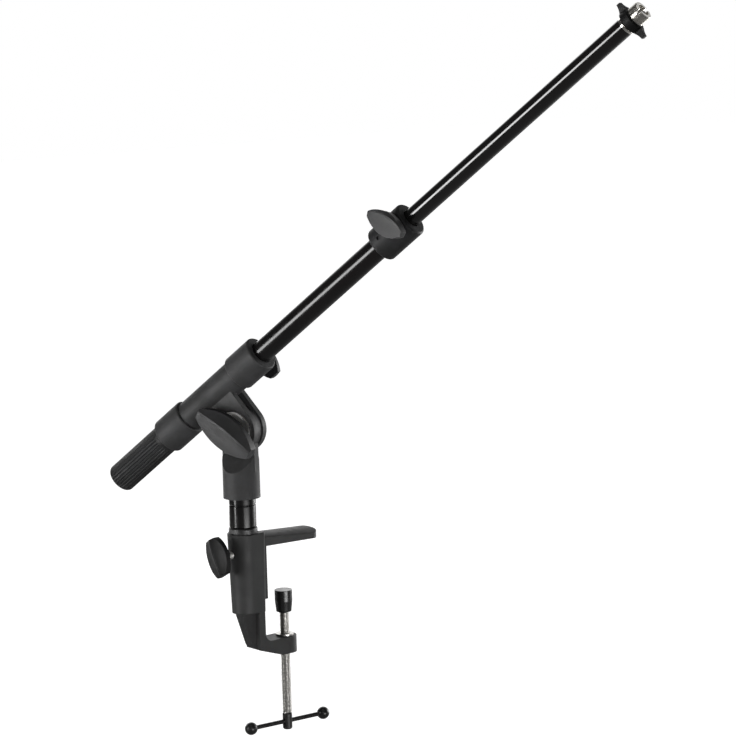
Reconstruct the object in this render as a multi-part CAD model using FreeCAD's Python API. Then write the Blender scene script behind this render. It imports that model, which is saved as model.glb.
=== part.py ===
import FreeCAD, Part
import math
import os

Vec = FreeCAD.Vector
Rotation = FreeCAD.Rotation
Placement = FreeCAD.Placement

# Desk clamp boom arm for a microphone, in millimetres.
# The origin is on the desk top under the upper jaw, on the spindle's axis.
# +X points into the desk, +Z up.

# Fits and cuts
press_gap = 0.03
running_gap = 0.08
free_gap = 0.3
face_gap = 0.1
overrun = 3.0

# Pose in which the arm is drawn
boom_heading = -68.0
boom_tilt = 38.6

# Clamp frame
socket_reach = 38.8
socket_rise = 12.0
socket_drop = 54.0
socket_top_diameter = 26.4
socket_foot_diameter = 22.4
socket_rim_round = 1.2
spine_reach = 23.3
spine_pad_thickness = 3.0
spine_pad_width = 20.0
spine_pad_drop = 44.0
spine_edge_round = 1.8
jaw_reach = 28.5
jaw_root_width = 23.0
jaw_tip_width = 33.0
jaw_root_height = 10.5
jaw_tip_height = 6.8
jaw_crown = 2.6
jaw_corner_radius = 10.0
jaw_bury = 6.0
arm_flange_width = 19.0
arm_flange_thickness = 6.0
arm_web_thickness = 9.0
arm_corner_radius = 7.0
arm_heel_reach = 7.8
arm_toe_inset = 2.8
arm_toe_depth = 85.0
arm_toe_radius = 9.0
lower_jaw_depth = 80.0
lower_jaw_height = 13.8
lower_boss_diameter = 19.5

# Spindle, pad and cross bar
spindle_diameter = 8.0
spindle_neck_diameter = 6.0
spindle_tail = 66.2
spindle_tip_chamfer = 0.8
clamp_opening = 42.0
pad_diameter = 14.5
pad_foot_diameter = 12.5
pad_height = 18.0
pad_roof = 4.0
bush_diameter = 12.0
bush_flange_diameter = 15.0
bush_flange_thickness = 1.5
bar_diameter = 3.6
bar_span = 72.0
bar_heading = -3.5
bar_hole_margin = 6.8
ball_diameter = 10.5
ball_bore_depth = 6.0

# Lock screws and their wing knobs
lock_screw_diameter = 6.0
lock_screw_grip = 5.5
lock_pad_thickness = 2.2
lock_wing_length = 31.5
lock_wing_width = 20.5
lock_wing_end_width = 9.0
lock_crest_shift = 3.6
clamp_wing_length = 31.0
clamp_wing_width = 27.0
clamp_wing_end_width = 13.0
lock_hub_diameter = 15.0
lock_hub_height = 5.0
lock_rim_height = 2.4
lock_crest_height = 6.4
lock_crest_bow = 3.6
clamp_lock_drop = 5.0
clamp_lock_standoff = 5.8
clamp_lock_lean = 207.5

# Stub rod and glide ring
rod_diameter = 22.0
rod_plug = 14.0
rod_edge = 0.8
rod_groove_width = 1.4
rod_groove_depth = 0.5
rod_groove_drop = 5.0
spigot_diameter = 16.0
spigot_length = 50.0
socket_floor_gap = 4.0
glide_ring_diameter = 23.4
glide_ring_height = 4.5
glide_ring_round = 1.2

# Tilt joint
socket_body_diameter = 30.0
socket_body_flare = 0.1
hinge_height = 96.9
socket_length = 55.9
tongue_radius = 18.6
tongue_thickness = 6.6
shoulder_drop = 34.0
shoulder_gap = 1.0
friction_disc_diameter = 34.0
friction_disc_thickness = 0.7
cheek_radius = 19.6
cheek_thickness = 5.5
web_half_span = 18.5
bolt_diameter = 8.0
bolt_head_diameter = 18.0
bolt_head_height = 4.6
bolt_neck_length = 4.0
bolt_thread_reach = 10.0
washer_diameter = 31.0
washer_thickness = 2.0

# Wing knob of the tilt joint
wing_length = 56.0
wing_width = 28.0
wing_end_width = 9.0
wing_hub_diameter = 22.0
wing_hub_height = 7.0
wing_rim_height = 3.0
wing_crest_height = 8.0
wing_crest_width = 1.6
wing_crest_bow = 3.2
wing_crest_shift = 4.8
wing_end_shift_share = 0.2
wing_hollow_share = 0.125
wing_turn = -72.0
insert_diameter = 13.0
insert_length = 11.0

# Barrel
barrel_offset = 35.0
sleeve_diameter = 26.0
front_collar_diameter = 30.0
front_collar_start = 28.5
front_collar_end = 57.0
collar_round = 1.6
rear_collar_diameter = 30.2
rear_collar_start = -31.0
rear_collar_end = -60.0
rear_collar_lip = 3.0
rear_spigot_diameter = 24.2
liner_wall = 1.2
liner_length = 23.0
boom_lock_station = 42.0
boom_lock_boss_diameter = 12.0
boom_lock_boss_height = 1.0
boom_lock_standoff = 0.6
boom_lock_roll = 180.0
boom_lock_swing = 88.0

# Tubes and grip
outer_tube_diameter = 18.2
outer_tube_wall = 1.2
outer_tube_end = 212.0
inner_tube_diameter = 14.4
inner_tube_wall = 1.0
inner_tube_start = 136.0
inner_tube_end = 464.2
grip_diameter = 24.6
grip_end = -122.0
grip_floor = 5.0
grip_insertion = 40.0
grip_round = 2.6
grip_ribs = 30
grip_rib_depth = 0.7
grip_rib_margin = 4.0
grip_groove_turn = 45.0
guide_flange_length = 5.0
guide_spigot_length = 14.0

# Telescope collar
telescope_start = 199.0
telescope_end = 234.0
telescope_diameter = 28.6
telescope_round = 2.0
telescope_lip = 3.0
telescope_bore_gap = 0.4
telescope_lock_station = 222.5
telescope_lock_roll = 16.0
telescope_lock_swing = -63.0
telescope_lock_standoff = 0.8
telescope_hub_height = 1.6
telescope_wing_length = 37.5
telescope_wing_width = 18.5
telescope_wing_end_width = 4.0
telescope_crest_shift = 6.4
relief_hole_diameter = 3.0
relief_hole_depth = 1.6
relief_hole_inset = 9.0
relief_hole_roll = 11.0

# Tip
stud_diameter = 9.5
stud_length = 14.0
tip_plug_length = 20.0
tip_flange_length = 2.4
ring_gap = 1.2
ring_diameter = 19.0
ring_length = 6.8
ring_edge = 0.8
ear_span = 31.5
ear_thickness = 4.6
ear_tip_length = 2.8
ear_waist_share = 0.55
ring_insert_wall = 1.6
adaptor_diameter = 15.875
adaptor_length = 8.8
adaptor_edge = 0.9
adaptor_slot_width = 2.4
adaptor_slot_depth = 2.6

# Radii and places that follow from the sizes above
top_radius = socket_top_diameter / 2
foot_radius = socket_foot_diameter / 2
spindle_radius = spindle_diameter / 2
lock_screw_radius = lock_screw_diameter / 2
spigot_radius = spigot_diameter / 2
rod_radius = rod_diameter / 2
outer_radius = outer_tube_diameter / 2
outer_bore_radius = outer_radius - outer_tube_wall
inner_radius = inner_tube_diameter / 2
inner_bore_radius = inner_radius - inner_tube_wall
sleeve_radius = sleeve_diameter / 2
bolt_radius = bolt_diameter / 2
stud_radius = stud_diameter / 2

glide_top = socket_rise + glide_ring_height
body_foot = hinge_height - socket_length
rod_top = body_foot + rod_plug
spine_back = -spine_reach - spine_pad_thickness
pad_top = -clamp_opening
pad_foot = pad_top - pad_height
lower_jaw_top = -lower_jaw_depth
lower_jaw_foot = lower_jaw_top - lower_jaw_height
boss_radius = lower_boss_diameter / 2
arm_toe = -socket_reach + arm_toe_inset
spindle_foot = lower_jaw_foot - spindle_tail
bar_height = spindle_foot + bar_hole_margin
cheek_inner = tongue_thickness / 2 + friction_disc_thickness + face_gap
cheek_outer = cheek_inner + cheek_thickness
washer_outer = cheek_outer + face_gap + washer_thickness
liner_radius = outer_radius + running_gap + liner_wall
liner_start = (front_collar_start + front_collar_end - liner_length) / 2
ring_end = inner_tube_end + tip_flange_length + ring_gap + ring_length
adaptor_start = ring_end + face_gap
adaptor_end = adaptor_start + adaptor_length
telescope_liner_radius = inner_radius + running_gap + liner_wall
telescope_liner_start = outer_tube_end + face_gap
telescope_liner_end = telescope_end - telescope_lip

rod_frame = Placement(Vec(-socket_reach, 0, 0), Rotation(Vec(0, 0, 1), boom_heading))
tilt_turn = Rotation(Vec(0, 0, 1), boom_heading).multiply(Rotation(Vec(0, 1, 0), -boom_tilt))
boom_frame = Placement(Vec(-socket_reach, 0, hinge_height), tilt_turn)
boom_axis = Placement(Vec(0, 0, barrel_offset), Rotation(Vec(0, 1, 0), 90))
sideways = Rotation(Vec(0, 0, 1), Vec(0, -1, 0))


def placed(shape, *frames):
    """The shape carried through the frames, the innermost frame last."""
    moved = shape.copy()
    for frame in reversed(frames):
        moved.Placement = frame.multiply(moved.Placement)
    return moved


def line(start, end):
    return Part.LineSegment(start, end).toShape()


def arc(start, middle, end):
    return Part.Arc(start, middle, end).toShape()


def turned(profile):
    """Solid of revolution about Z of a closed outline of (radius, height) points."""
    points = [Vec(radius, 0, height) for radius, height in profile]
    outline = Part.makePolygon(points + points[:1])
    return Part.Face(outline).revolve(Vec(0, 0, 0), Vec(0, 0, 1), 360)


def cylinder(radius, low, high):
    return Part.makeCylinder(radius, high - low, Vec(0, 0, low))


def ring(bore_radius, radius, low, high):
    return turned([(bore_radius, low), (radius, low), (radius, high), (bore_radius, high)])


def slab(width, depth, low, high):
    """Box centred on Z."""
    return Part.makeBox(width, depth, high - low, Vec(-width / 2, -depth / 2, low))


def prism(edges, direction):
    return Part.Face(Part.Wire(edges)).extrude(direction)


def polygon_prism(points, direction):
    return Part.Face(Part.makePolygon(points + points[:1])).extrude(direction)


def edges_where(shape, test):
    return [edge for edge in shape.Edges if test(edge.CenterOfMass)]


def rounded_rims(shape, radius, heights):
    """Fillets the edges whose middle lies at one of the heights along Z."""
    def at_height(centre):
        return min(abs(centre.z - height) for height in heights) < press_gap
    return shape.makeFillet(radius, edges_where(shape, at_height))


def socket_outline(radius, height):
    """Plan of the clamp's body: round outside, flat against the desk's edge."""
    near = Vec(spine_back, -radius, height)
    far = Vec(spine_back, radius, height)
    far_turn = Vec(-socket_reach, radius, height)
    back = Vec(-socket_reach - radius, 0, height)
    near_turn = Vec(-socket_reach, -radius, height)
    sides = [line(near, far), line(far, far_turn), arc(far_turn, back, near_turn), line(near_turn, near)]
    return Part.Wire(sides)


def clamp_socket():
    outlines = [socket_outline(foot_radius, -socket_drop), socket_outline(top_radius, socket_rise)]
    body = Part.makeLoft(outlines, True, True)

    def on_spine_edge(centre):
        upright = abs(centre.z - (socket_rise - socket_drop) / 2) < spine_edge_round
        return upright and abs(centre.x - spine_back) < press_gap

    body = body.makeFillet(spine_edge_round, edges_where(body, on_spine_edge))
    body = rounded_rims(body, socket_rim_round, [socket_rise])
    half = spine_pad_width / 2
    desk_pad = Part.makeBox(2 * spine_pad_thickness, spine_pad_width, spine_pad_drop,
                            Vec(spine_back - spine_pad_thickness, -half, -spine_pad_drop))
    return body.fuse(desk_pad)


def jaw_section(station, width, height):
    """Cross-section of the upper jaw, crowned on top and drawn past its flat underside."""
    shoulder = height - jaw_crown
    near = Vec(station, -width / 2, -overrun)
    far = Vec(station, width / 2, -overrun)
    far_top = Vec(station, width / 2, shoulder)
    near_top = Vec(station, -width / 2, shoulder)
    crown = Vec(station, 0, height)
    top = arc(far_top, crown, near_top)
    return Part.Wire([line(near, far), line(far, far_top), top, line(near_top, near)])


def upper_jaw():
    root = -spine_reach - jaw_bury
    sections = [jaw_section(root, jaw_root_width, jaw_root_height)]
    sections.append(jaw_section(jaw_reach, jaw_tip_width, jaw_tip_height))
    jaw = Part.makeLoft(sections, True, True)
    half = jaw_tip_width / 2
    plan = Part.makeBox(jaw_reach - root, jaw_tip_width, jaw_root_height, Vec(root, -half, 0))

    def on_tip_corner(centre):
        return abs(centre.x - jaw_reach) < press_gap and abs(abs(centre.y) - half) < press_gap

    plan = plan.makeFillet(jaw_corner_radius, edges_where(plan, on_tip_corner))
    return jaw.common(plan)


def arm_web():
    """Web that carries the lower jaw, drawn in from the socket's foot towards its rounded toe."""
    half = arm_web_thickness / 2
    top = -socket_drop + overrun
    heel = -socket_reach - arm_heel_reach
    outline = [
        Vec(heel, -half, top),
        Vec(heel, -half, -socket_drop),
        Vec(arm_toe, -half, -arm_toe_depth),
        Vec(-boss_radius, -half, lower_jaw_foot),
        Vec(0, -half, lower_jaw_foot),
        Vec(0, -half, lower_jaw_top),
        Vec(spine_back, -half, lower_jaw_top),
        Vec(spine_back, -half, top),
    ]
    web = polygon_prism(outline, Vec(0, arm_web_thickness, 0))

    def on_toe(centre):
        return abs(centre.x - arm_toe) < press_gap and abs(centre.z + arm_toe_depth) < press_gap

    return web.makeFillet(arm_toe_radius, edges_where(web, on_toe))


def arm_flange():
    """Flange along the inner side of the web, which becomes the lower jaw."""
    half = arm_flange_width / 2
    back = spine_back - arm_flange_thickness
    top = -socket_drop + overrun
    slant_share = (back - arm_toe) / (-boss_radius - arm_toe)
    back_foot = -arm_toe_depth + slant_share * (lower_jaw_foot + arm_toe_depth)
    corner_start = Vec(spine_back, -half, lower_jaw_top + arm_corner_radius)
    corner_end = Vec(spine_back + arm_corner_radius, -half, lower_jaw_top)
    corner_share = 1 - math.sqrt(0.5)
    inset = arm_corner_radius * corner_share
    corner_middle = Vec(spine_back + inset, -half, lower_jaw_top + inset)
    edges = [
        line(Vec(spine_back, -half, top), corner_start),
        arc(corner_start, corner_middle, corner_end),
        line(corner_end, Vec(0, -half, lower_jaw_top)),
        line(Vec(0, -half, lower_jaw_top), Vec(0, -half, lower_jaw_foot)),
        line(Vec(0, -half, lower_jaw_foot), Vec(-boss_radius, -half, lower_jaw_foot)),
        line(Vec(-boss_radius, -half, lower_jaw_foot), Vec(back, -half, back_foot)),
        line(Vec(back, -half, back_foot), Vec(back, -half, top)),
        line(Vec(back, -half, top), Vec(spine_back, -half, top)),
    ]
    return prism(edges, Vec(0, arm_flange_width, 0))


def clamp_frame():
    body = clamp_socket().fuse([upper_jaw(), arm_web(), arm_flange()])
    body = body.fuse(cylinder(boss_radius, lower_jaw_foot, lower_jaw_top))
    bore_foot = glide_top - spigot_length - socket_floor_gap
    bore = cylinder(spigot_radius + running_gap, bore_foot, socket_rise + overrun)
    bore.translate(Vec(-socket_reach, 0, 0))
    screw_hole = cylinder(lock_screw_radius + running_gap, 0, top_radius + overrun)
    bush_seat = cylinder(bush_diameter / 2 + press_gap, lower_jaw_foot - overrun, lower_jaw_top + overrun)
    return body.cut([bore, placed(screw_hole, clamp_lock_frame()), bush_seat]).removeSplitter()


def spindle_bush():
    """Flanged threaded bush pressed into the lower jaw."""
    bore = spindle_radius + running_gap
    flange = bush_flange_diameter / 2
    barrel = bush_diameter / 2
    flange_top = lower_jaw_top + bush_flange_thickness
    profile = [(bore, lower_jaw_foot), (barrel, lower_jaw_foot), (barrel, lower_jaw_top)]
    profile += [(flange, lower_jaw_top), (flange, flange_top), (bore, flange_top)]
    return turned(profile)


def pad_cap():
    """Cap that bears on the desk's underside and stays still while the spindle turns in it."""
    bore = spindle_neck_diameter / 2 + running_gap
    ceiling = pad_top - pad_roof
    radius = pad_diameter / 2
    foot = pad_foot_diameter / 2
    profile = [(0, pad_top), (radius, pad_top), (radius, (pad_top + pad_foot) / 2), (foot, pad_foot)]
    profile += [(bore, pad_foot), (bore, ceiling), (0, ceiling)]
    return turned(profile)


def spindle():
    neck = spindle_neck_diameter / 2
    neck_top = pad_top - pad_roof - face_gap
    shoulder = pad_foot - face_gap
    tip = spindle_radius - spindle_tip_chamfer
    profile = [(0, neck_top), (neck, neck_top), (neck, shoulder), (spindle_radius, shoulder)]
    profile += [(spindle_radius, spindle_foot + spindle_tip_chamfer), (tip, spindle_foot), (0, spindle_foot)]
    hole = cylinder(bar_diameter / 2 + running_gap, -spindle_diameter, spindle_diameter)
    return turned(profile).cut(placed(hole, bar_frame()))


def bar_frame():
    heading = math.radians(bar_heading)
    direction = Vec(math.cos(heading), math.sin(heading), 0)
    return Placement(Vec(0, 0, bar_height), Rotation(Vec(0, 0, 1), direction))


def bar_end():
    return bar_span / 2 - ball_diameter / 2 + ball_bore_depth


def tommy_bar():
    return placed(cylinder(bar_diameter / 2, -bar_end(), bar_end()), bar_frame())


def ball_knobs():
    balls = []
    for side in (-1, 1):
        ball = Part.makeSphere(ball_diameter / 2, Vec(0, 0, side * bar_span / 2))
        balls.append(ball.cut(cylinder(bar_diameter / 2 + press_gap, -bar_end(), bar_end())))
    return placed(Part.makeCompound(balls), bar_frame())


def lock_pad(seat):
    """Thrust pad of a lock screw, a free gap clear of the piece that it presses on."""
    return cylinder(lock_screw_radius, seat + free_gap, seat + free_gap + lock_pad_thickness)


def lock_screw(seat, knob_base):
    low = seat + free_gap + lock_pad_thickness + face_gap
    return cylinder(lock_screw_radius, low, knob_base + lock_screw_grip)


def lock_knob(knob_base, hub_height, length, width, end_width, shift):
    """Wing knob of a lock, its hub towards the clamped piece and its wing along X."""
    wing_low = knob_base + hub_height
    wing = wing_body(length, width, end_width, wing_low, lock_rim_height, lock_crest_height, shift,
                     lock_crest_bow)
    knob = wing.fuse(cylinder(lock_hub_diameter / 2, knob_base, wing_low + lock_rim_height))
    socket = cylinder(lock_screw_radius + press_gap, knob_base - overrun, knob_base + lock_screw_grip)
    return knob.cut(socket).removeSplitter()


def facing(outwards, along):
    """Rotation that takes Z to the first direction and X to the second, square to it."""
    return Rotation(along, outwards.cross(along), outwards, "ZXY")


def clamp_lock_frame():
    """Frame of the clamp's lock, outwards through the socket's back."""
    lean = math.radians(clamp_lock_lean)
    along = Vec(0, math.sin(lean), math.cos(lean))
    return Placement(Vec(-socket_reach, 0, -clamp_lock_drop), facing(Vec(-1, 0, 0), along))


def boom_lock_frame(station, roll_degrees, swing_degrees):
    """Frame of a lock inside the boom's axis, rolled from the near side and swung from the boom."""
    roll = math.radians(roll_degrees)
    swing = math.radians(swing_degrees)
    outwards = Vec(-math.sin(roll), -math.cos(roll), 0)
    across = Vec(-math.cos(roll), math.sin(roll), 0)
    along = Vec(0, 0, 1) * math.cos(swing) + across * math.sin(swing)
    return Placement(Vec(0, 0, station), facing(outwards, along))


def collar_lock_frame():
    return boom_lock_frame(boom_lock_station, boom_lock_roll, boom_lock_swing)


def telescope_lock_frame():
    return boom_lock_frame(telescope_lock_station, telescope_lock_roll, telescope_lock_swing)


def glide_ring():
    body = ring(spigot_radius + running_gap, glide_ring_diameter / 2, socket_rise, glide_top)
    outer = [edge for edge in body.Edges if edge.CenterOfMass.z > glide_top - press_gap
             and edge.BoundBox.XLength > rod_diameter]
    return placed(body.makeFillet(glide_ring_round, outer), rod_frame)


def stub_rod():
    """Gloss rod: its spigot turns in the clamp's socket, its top is fixed in the joint socket."""
    low = glide_top + face_gap
    groove_top = body_foot - rod_groove_drop
    groove_low = groove_top - rod_groove_width
    groove = rod_radius - rod_groove_depth
    spigot_foot = glide_top - spigot_length
    profile = [(0, spigot_foot), (spigot_radius - rod_edge, spigot_foot),
               (spigot_radius, spigot_foot + rod_edge)]
    profile += [(spigot_radius, low), (rod_radius - rod_edge, low), (rod_radius, low + rod_edge)]
    profile += [(rod_radius, groove_low), (groove, groove_low + rod_groove_depth)]
    profile += [(groove, groove_top - rod_groove_depth), (rod_radius, groove_top)]
    profile += [(rod_radius, rod_top - rod_edge), (rod_radius - rod_edge, rod_top), (0, rod_top)]
    return placed(turned(profile), rod_frame)


def joint_socket():
    """Socket over the stub rod, sloped in on both sides to a flat tongue."""
    half = tongue_thickness / 2
    radius = socket_body_diameter / 2
    shoulder = hinge_height - cheek_radius - shoulder_gap
    slope_foot = hinge_height - shoulder_drop
    body = turned([(0, body_foot), (radius + socket_body_flare, body_foot), (radius, slope_foot),
                   (radius, shoulder), (0, shoulder)])
    reach = radius + overrun
    for side in (-1, 1):
        slope = [
            Vec(-reach, side * half, shoulder + overrun),
            Vec(-reach, side * half, shoulder),
            Vec(-reach, side * radius, slope_foot),
            Vec(-reach, side * reach, slope_foot),
            Vec(-reach, side * reach, shoulder + overrun),
        ]
        body = body.cut(polygon_prism(slope, Vec(2 * reach, 0, 0)))
    tongue = placed(cylinder(tongue_radius, -half, half), Placement(Vec(0, 0, hinge_height), sideways))
    neck = slab(socket_body_diameter, tongue_thickness, slope_foot, hinge_height - tongue_radius / 2)
    body = body.fuse([tongue, neck])
    bore = cylinder(rod_radius + press_gap, body_foot - overrun, rod_top)
    bolt_hole = cylinder(bolt_radius + running_gap, -half - overrun, half + overrun)
    hinge = Placement(Vec(0, 0, hinge_height), sideways)
    return placed(body.cut([bore, placed(bolt_hole, hinge)]).removeSplitter(), rod_frame)


def friction_discs():
    half = tongue_thickness / 2
    discs = []
    for low in (half, -half - friction_disc_thickness):
        disc = ring(bolt_radius + running_gap, friction_disc_diameter / 2, low, low + friction_disc_thickness)
        discs.append(placed(disc, Placement(Vec(0, 0, hinge_height), sideways)))
    return placed(Part.makeCompound(discs), rod_frame)


def cheek(side):
    """One cheek of the barrel: a disc round the hinge, with tangent webs up to the sleeve."""
    reach = math.hypot(web_half_span, barrel_offset)
    tangent = math.atan2(barrel_offset, web_half_span) - math.acos(cheek_radius / reach)
    touch_x = cheek_radius * math.cos(tangent)
    touch_z = cheek_radius * math.sin(tangent)
    face = side * cheek_inner
    right = Vec(touch_x, face, touch_z)
    left = Vec(-touch_x, face, touch_z)
    top_right = Vec(web_half_span, face, barrel_offset)
    top_left = Vec(-web_half_span, face, barrel_offset)
    edges = [arc(right, Vec(0, face, -cheek_radius), left), line(left, top_left)]
    edges += [line(top_left, top_right), line(top_right, right)]
    return prism(edges, Vec(0, side * cheek_thickness, 0))


def barrel():
    """Sleeve with a larger front collar, two cheeks below it and a spigot for the rear collar."""
    collar_radius = front_collar_diameter / 2
    rear_spigot = rear_spigot_diameter / 2
    spigot_end = rear_collar_end + rear_collar_lip + face_gap
    collar = rounded_rims(cylinder(collar_radius, front_collar_start, front_collar_end), collar_round,
                          [front_collar_start, front_collar_end])
    pieces = [cylinder(sleeve_radius, rear_collar_start, front_collar_end - collar_round)]
    pieces.append(cylinder(rear_spigot, spigot_end, rear_collar_start + overrun))
    boss_end = collar_radius + boom_lock_boss_height
    boss = cylinder(boom_lock_boss_diameter / 2, sleeve_radius, boss_end)
    pieces.append(placed(boss, collar_lock_frame()))
    body = placed(collar.fuse(pieces), boom_axis).fuse([cheek(-1), cheek(1)])
    passage = cylinder(outer_radius + free_gap, spigot_end - overrun, front_collar_end + overrun)
    liner_seat = cylinder(liner_radius + press_gap, liner_start, liner_start + liner_length)
    screw_hole = placed(cylinder(lock_screw_radius + running_gap, 0, boss_end + overrun), collar_lock_frame())
    cuts = [placed(cut, boom_axis) for cut in (passage, liner_seat, screw_hole)]
    bolt_hole = cylinder(bolt_radius + press_gap, 0, cheek_outer + overrun)
    neck_width = bolt_diameter + 2 * press_gap
    neck_hole = slab(neck_width, neck_width, -cheek_outer - overrun, 0)
    cuts += [placed(cut, Placement(Vec(0, 0, 0), sideways)) for cut in (bolt_hole, neck_hole)]
    return placed(body.cut(cuts).removeSplitter(), boom_frame)


def barrel_liner():
    """Plastic liner that guides the outer tube in the front collar."""
    liner = ring(outer_radius + running_gap, liner_radius, liner_start, liner_start + liner_length)
    hole = placed(cylinder(lock_screw_radius + free_gap, 0, liner_radius + overrun), collar_lock_frame())
    return placed(liner.cut(hole), boom_frame, boom_axis)


def tilt_bolt():
    """Round head bolt with a square neck in the far cheek, through to the wing knob."""
    head_radius = bolt_head_diameter / 2
    cap_radius = (head_radius ** 2 + bolt_head_height ** 2) / (2 * bolt_head_height)
    cap = Part.makeSphere(cap_radius, Vec(0, 0, -cheek_outer - bolt_head_height + cap_radius))
    cap = cap.common(cylinder(head_radius + overrun, -cheek_outer - bolt_head_height - overrun, -cheek_outer))
    neck = slab(bolt_diameter, bolt_diameter, -cheek_outer - press_gap, -cheek_outer + bolt_neck_length)
    shank = cylinder(bolt_radius, -cheek_outer - press_gap, washer_outer + bolt_thread_reach)
    bolt = cap.fuse([neck, shank]).removeSplitter()
    return placed(bolt, boom_frame, Placement(Vec(0, 0, 0), sideways))


def joint_washer():
    washer = ring(bolt_radius + running_gap, washer_diameter / 2, cheek_outer + face_gap, washer_outer)
    return placed(washer, boom_frame, Placement(Vec(0, 0, 0), sideways))


def wing_section(station, reach, low, edge, top, shift):
    """Cross-section of a wing: two hollow flanks that rise to a crest beside its middle."""
    ridge = wing_crest_width / 2
    middle = (edge + top) / 2 - (top - edge) * wing_hollow_share
    near_foot = Vec(station, -reach, low)
    near_edge = Vec(station, -reach, edge)
    near_middle = Vec(station, (shift - ridge - reach) / 2, middle)
    near_ridge = Vec(station, shift - ridge, top)
    far_ridge = Vec(station, shift + ridge, top)
    far_middle = Vec(station, (shift + ridge + reach) / 2, middle)
    far_edge = Vec(station, reach, edge)
    far_foot = Vec(station, reach, low)
    sides = [line(near_foot, near_edge), arc(near_edge, near_middle, near_ridge), line(near_ridge, far_ridge)]
    sides += [arc(far_ridge, far_middle, far_edge), line(far_edge, far_foot), line(far_foot, near_foot)]
    return Part.Wire(sides)


def wing_body(length, width, end_width, low, rim, crest, shift, bow):
    """Lens-shaped wing, lofted along its length under a crest that bows down and in to both ends."""
    half = length / 2
    end = end_width / 2
    left = Vec(-half, -end, low)
    right = Vec(half, -end, low)
    far_right = Vec(half, end, low)
    far_left = Vec(-half, end, low)
    outline = [arc(left, Vec(0, -width / 2, low), right), line(right, far_right)]
    outline += [arc(far_right, Vec(0, width / 2, low), far_left), line(far_left, left)]
    lens = prism(outline, Vec(0, 0, rim + crest))
    edge = low + rim
    top = edge + crest
    reach = width / 2 + overrun
    end_shift = shift * wing_end_shift_share
    sections = [wing_section(station, reach, low - overrun, edge, top - bow, end_shift)
                for station in (-half - overrun, half + overrun)]
    sections.insert(1, wing_section(0, reach, low - overrun, edge, top, shift))
    return lens.common(Part.makeLoft(sections, True))


def joint_knob_base():
    return washer_outer + face_gap


def joint_knob():
    base = joint_knob_base()
    wing = wing_body(wing_length, wing_width, wing_end_width, base + wing_hub_height, wing_rim_height,
                     wing_crest_height, wing_crest_shift, wing_crest_bow)
    knob = wing.fuse(cylinder(wing_hub_diameter / 2, base, base + wing_hub_height + wing_rim_height))
    seat = cylinder(insert_diameter / 2 + press_gap, base - overrun, base + insert_length)
    return placed(knob.cut(seat).removeSplitter(), boom_frame, joint_knob_frame())


def joint_knob_frame():
    """Frame of the tilt knob: Z out along the bolt, X along the wing."""
    turn = Rotation(Vec(0, 1, 0), -wing_turn)
    return Placement(Vec(0, 0, 0), turn.multiply(sideways))


def joint_knob_insert():
    base = joint_knob_base()
    insert = ring(bolt_radius + running_gap, insert_diameter / 2, base, base + insert_length)
    return placed(insert, boom_frame, Placement(Vec(0, 0, 0), sideways))


def rear_collar():
    """Ring on the barrel's rear spigot, with a lip that guides the outer tube."""
    radius = rear_collar_diameter / 2
    bore = rear_spigot_diameter / 2 + free_gap
    start = rear_collar_start - face_gap
    lip = rear_collar_end + rear_collar_lip
    tube = outer_radius + running_gap
    body = turned([(tube, rear_collar_end), (radius, rear_collar_end), (radius, start), (bore, start),
                   (bore, lip), (tube, lip)])
    outer = [edge for edge in body.Edges if edge.BoundBox.XLength > rear_collar_diameter - press_gap]
    outer = [edge for edge in outer if edge.BoundBox.ZLength < press_gap]
    return placed(body.makeFillet(collar_round, outer), boom_frame, boom_axis)


def outer_tube():
    start = rear_collar_end - grip_insertion
    return placed(ring(outer_bore_radius, outer_radius, start, outer_tube_end), boom_frame, boom_axis)


def tail_grip():
    """Ribbed end grip over the outer tube, closed at its tail."""
    radius = grip_diameter / 2
    front = rear_collar_end - face_gap
    pocket = rear_collar_end - grip_insertion
    bore = outer_radius + press_gap
    body = rounded_rims(cylinder(radius, grip_end, front), grip_round, [grip_end])
    floor = max(pocket, grip_end + grip_floor)
    cutters = [cylinder(bore, floor, front + overrun)]
    for rib in range(grip_ribs):
        angle = 2 * math.pi * rib / grip_ribs
        reach = radius + grip_rib_depth * (math.sqrt(2) - 1)
        groove = slab(2 * grip_rib_depth, 2 * grip_rib_depth, grip_end - overrun, front - grip_rib_margin)
        groove.rotate(Vec(0, 0, 0), Vec(0, 0, 1), grip_groove_turn)
        groove.translate(Vec(reach, 0, 0))
        groove.rotate(Vec(0, 0, 0), Vec(0, 0, 1), math.degrees(angle))
        cutters.append(groove)
    return placed(body.cut(cutters), boom_frame, boom_axis)


def telescope_collar():
    """Clamp collar on the front end of the outer tube, bored for the inner tube's liner."""
    radius = telescope_diameter / 2
    body = rounded_rims(cylinder(radius, telescope_start, telescope_end), telescope_round,
                        [telescope_start, telescope_end])
    tube_seat = cylinder(outer_radius + press_gap, telescope_start - overrun, outer_tube_end)
    liner_seat = cylinder(telescope_liner_radius + press_gap, outer_tube_end - overrun, telescope_liner_end)
    mouth = cylinder(inner_radius + telescope_bore_gap, telescope_start, telescope_end + overrun)
    screw_hole = cylinder(lock_screw_radius + running_gap, 0, radius + overrun)
    screw_hole = placed(screw_hole, telescope_lock_frame())
    roll = math.radians(relief_hole_roll)
    relief = cylinder(relief_hole_diameter / 2, radius - relief_hole_depth, radius + overrun)
    relief_axis = Rotation(Vec(0, 0, 1), Vec(-math.sin(roll), -math.cos(roll), 0))
    relief = placed(relief, Placement(Vec(0, 0, telescope_start + relief_hole_inset), relief_axis))
    body = body.cut([tube_seat, liner_seat, mouth, screw_hole, relief])
    return placed(body, boom_frame, boom_axis)


def telescope_liner():
    liner = ring(inner_radius + running_gap, telescope_liner_radius, telescope_liner_start,
                 telescope_liner_end - face_gap)
    hole = placed(cylinder(lock_screw_radius + free_gap, 0, telescope_liner_radius + overrun),
                  telescope_lock_frame())
    return placed(liner.cut(hole), boom_frame, boom_axis)


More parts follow.
